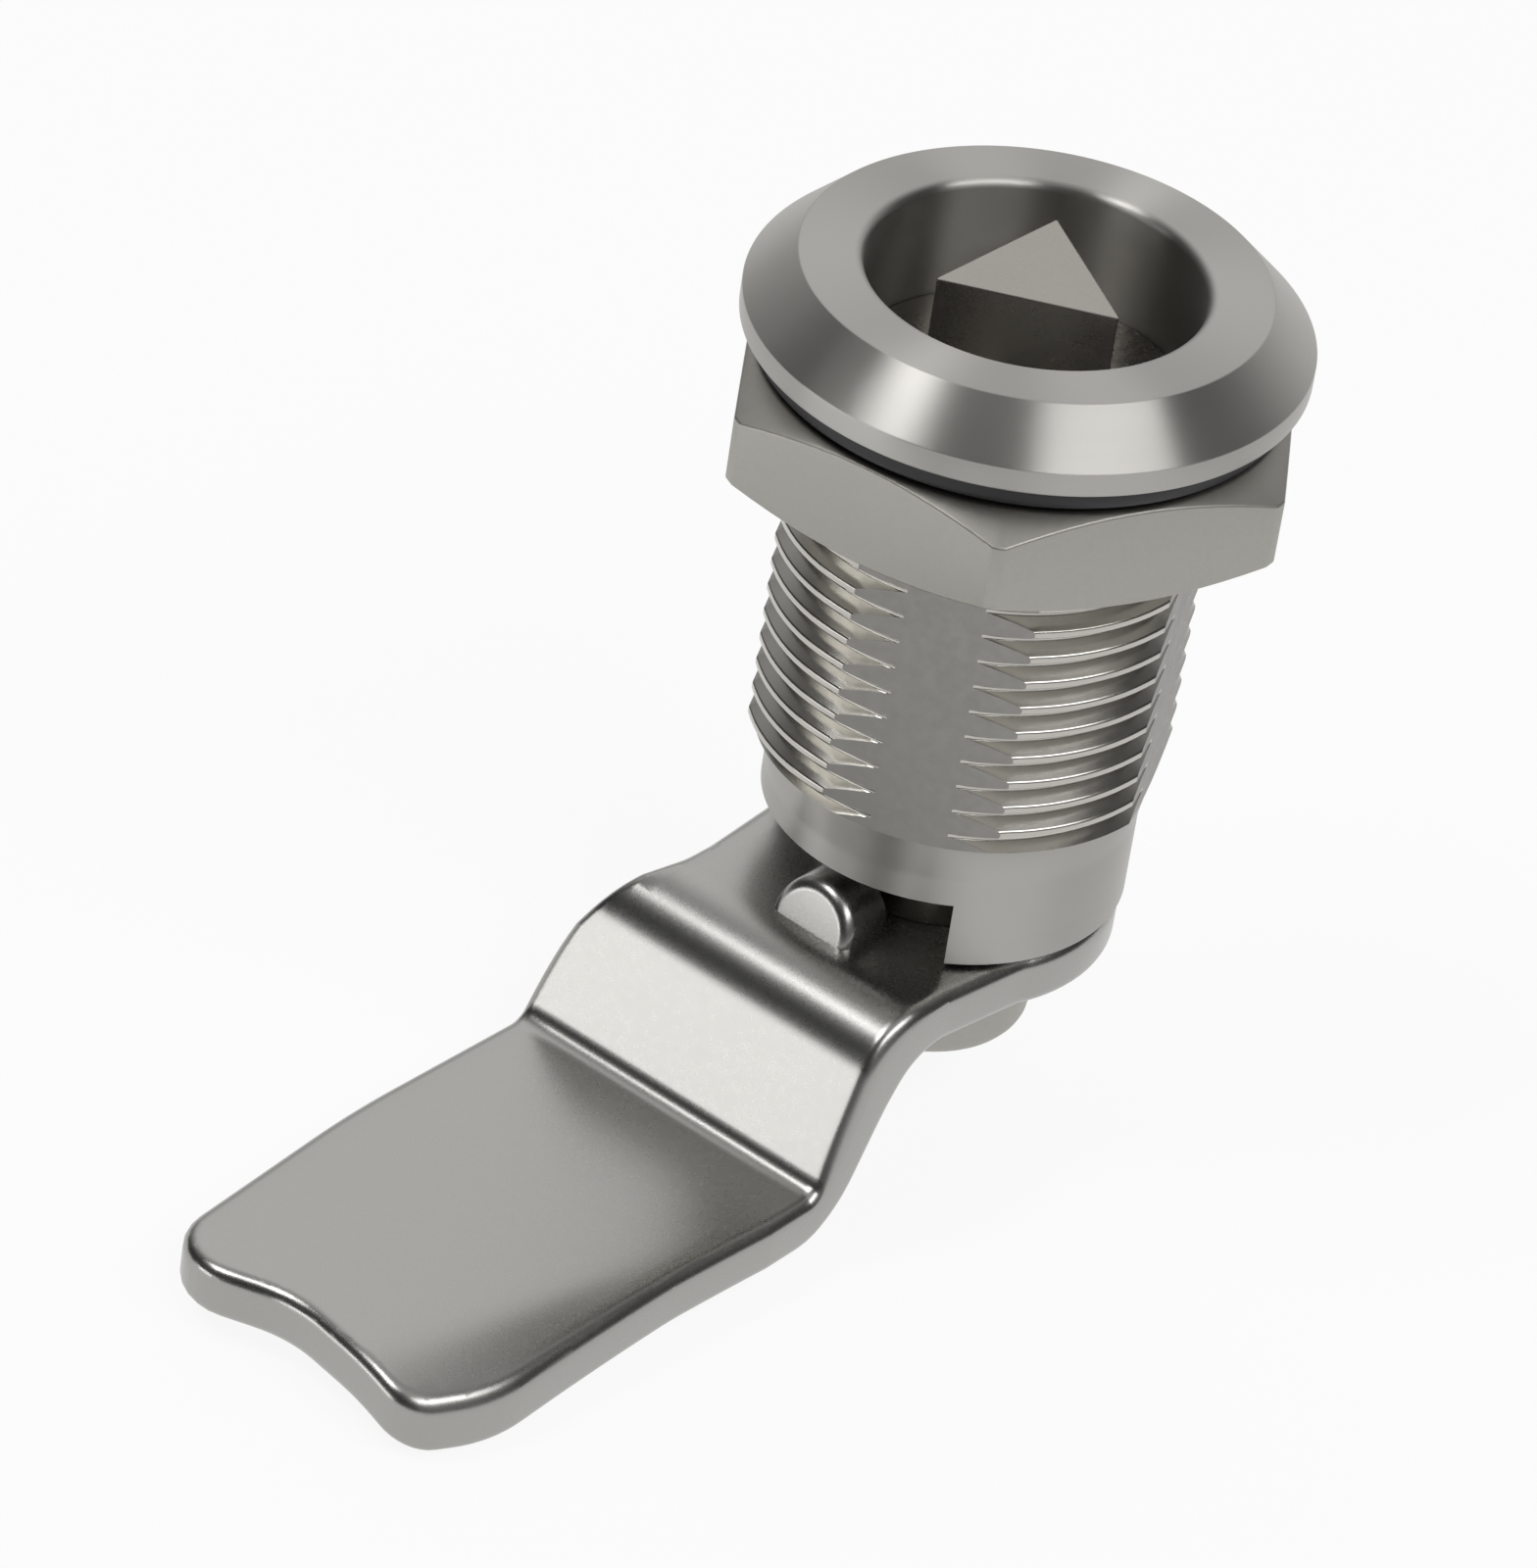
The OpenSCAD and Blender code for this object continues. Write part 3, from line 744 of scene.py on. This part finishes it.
def makeFloor():
    level, half = cadBox[0].z / mm - paper["gap"], paper["halfSize"]
    points = [(-half, -half, level), (half, -half, level), (half, half, level), (-half, half, level)]
    floor = newPiece("floor", points, [(0, 1, 2, 3)])
    material = bpy.data.materials.new("floor_paper")
    material.use_nodes = True
    tree = material.node_tree
    tree.nodes.clear()
    link = tree.links.new
    sheet = add(tree, "ShaderNodeBsdfDiffuse", Color=(*[paper["shade"]] * 3, 1))
    white = add(tree, "ShaderNodeEmission", Color=(1, 1, 1, 1), Strength=1.0)
    rays = add(tree, "ShaderNodeLightPath")   # seen white, also in metal, and shadow still falls on it
    mirrored = add(tree, "ShaderNodeMath", operation="ADD")
    link(rays.outputs["Is Glossy Ray"], mirrored.inputs[0])
    link(rays.outputs["Is Transmission Ray"], mirrored.inputs[1])
    seen = add(tree, "ShaderNodeMath", operation="ADD", use_clamp=True)
    link(rays.outputs["Is Camera Ray"], seen.inputs[0])
    link(mirrored.outputs[0], seen.inputs[1])
    share = add(tree, "ShaderNodeMath", operation="MULTIPLY")
    share.inputs[1].default_value = paper["whiteShare"]
    link(seen.outputs[0], share.inputs[0])
    mix = add(tree, "ShaderNodeMixShader")
    link(share.outputs[0], mix.inputs[0])
    link(sheet.outputs[0], mix.inputs[1])
    link(white.outputs[0], mix.inputs[2])
    link(mix.outputs[0], add(tree, "ShaderNodeOutputMaterial").inputs[0])
    floor.data.materials.append(material)


lowWall = [                                   # azimuth in degrees, and the lower wall's brightness there
    (-180, 0.6), (-150, 0.7), (-125, 0.6), (-105, 0.25), (-88, 0.05), (-60, 0.03), (-40, 0.06),
    (-12, 0.06), (10, 0.03), (40, 0.05), (60, 0.2), (100, 0.2), (118, 0.06), (145, 0.06), (162, 0.35),
]
highWall = [
    (-180, 0.65), (-160, 0.95), (-143, 1.12), (-120, 1.05), (-102, 0.75), (-90, 0.4), (-78, 0.1),
    (-60, 0.03), (0, 0.03), (30, 0.06), (50, 0.25), (100, 0.3), (118, 0.05), (145, 0.05), (162, 0.3),
]
wallJoin = {"start": 14, "full": 34}          # elevation at which the upper wall takes over, in degrees
ceiling = {"start": 56, "full": 70, "level": 0.5}


def studioWall(tree, azimuth, ring):          # a ramp of the wall's brightness by azimuth
    wall = add(tree, "ShaderNodeValToRGB")
    marks = wall.color_ramp.elements
    for i, (angle, level) in enumerate(ring):
        position = (angle + 180) / 360
        mark = marks[0] if i == 0 else marks.new(position)
        mark.position, mark.color = position, (level, level, level, 1)
    marks[len(ring)].color = marks[0].color
    tree.links.new(azimuth, wall.inputs["Fac"])
    return wall.outputs["Color"]


def makeWorld():                              # the studio's lower and upper wall, and its ceiling
    world = bpy.data.worlds.new("studio")
    bpy.context.scene.world = world
    world.use_nodes = True
    tree = world.node_tree
    tree.nodes.clear()
    link = tree.links.new
    direction = add(tree, "ShaderNodeTexCoord").outputs["Generated"]
    axes = add(tree, "ShaderNodeSeparateXYZ")
    link(direction, axes.inputs[0])
    front = add(tree, "ShaderNodeMath", operation="MULTIPLY")
    front.inputs[1].default_value = -1
    link(axes.outputs["Y"], front.inputs[0])
    azimuth = add(tree, "ShaderNodeMath", operation="ARCTAN2")
    link(axes.outputs["X"], azimuth.inputs[0])
    link(front.outputs[0], azimuth.inputs[1])
    share = add(tree, "ShaderNodeMapRange")
    share.inputs["From Min"].default_value = -pi
    share.inputs["From Max"].default_value = pi
    link(azimuth.outputs[0], share.inputs["Value"])
    tone = studioWall(tree, share.outputs[0], lowWall)
    layers = ((wallJoin, studioWall(tree, share.outputs[0], highWall)), (ceiling, None))
    for layer, colour in layers:
        height = add(tree, "ShaderNodeMapRange", interpolation_type="SMOOTHSTEP")
        height.inputs["From Min"].default_value = sin(radians(layer["start"]))
        height.inputs["From Max"].default_value = sin(radians(layer["full"]))
        link(axes.outputs["Z"], height.inputs["Value"])
        mix = add(tree, "ShaderNodeMix", data_type="RGBA")
        link(height.outputs[0], mix.inputs["Factor"])
        link(tone, mix.inputs["A"])
        if colour:
            link(colour, mix.inputs["B"])
        else:
            mix.inputs["B"].default_value = (*[layer["level"]] * 3, 1)
        tone = mix.outputs["Result"]
    studio = add(tree, "ShaderNodeBackground", Strength=1.0)
    link(tone, studio.inputs["Color"])
    link(studio.outputs[0], add(tree, "ShaderNodeOutputWorld").inputs[0])


lampDistance = 1.2                            # metres
lamps = [                                     # angles in degrees, sizes in metres, power in watts
    {"name": "right", "azimuth": 82, "elevation": 49, "width": 1.0, "height": 0.42, "power": 5.4},
    {"name": "left", "azimuth": -34, "elevation": 60, "width": 0.42, "height": 0.3, "power": 3.3},
    {"name": "low", "azimuth": -27, "elevation": 2, "width": 0.85, "height": 0.22, "power": 2.1},
]


def makeLamp(lamp):
    a, e = radians(lamp["azimuth"]), radians(lamp["elevation"])
    data = bpy.data.lights.new(lamp["name"], "AREA")
    data.shape, data.energy = "RECTANGLE", lamp["power"]
    data.size, data.size_y = lamp["width"], lamp["height"]
    softbox = bpy.data.objects.new(lamp["name"], data)
    bpy.context.scene.collection.objects.link(softbox)
    away = Vector((sin(a) * cos(e), -cos(a) * cos(e), sin(e)))
    softbox.location = away * lampDistance
    softbox.rotation_euler = away.to_track_quat("Z", "Y").to_euler()


makeCamera()
makeFloor()
makeWorld()
for lamp in lamps:
    makeLamp(lamp)
bpy.context.scene.view_settings.view_transform = "Standard"
print("camera, floor and light set")
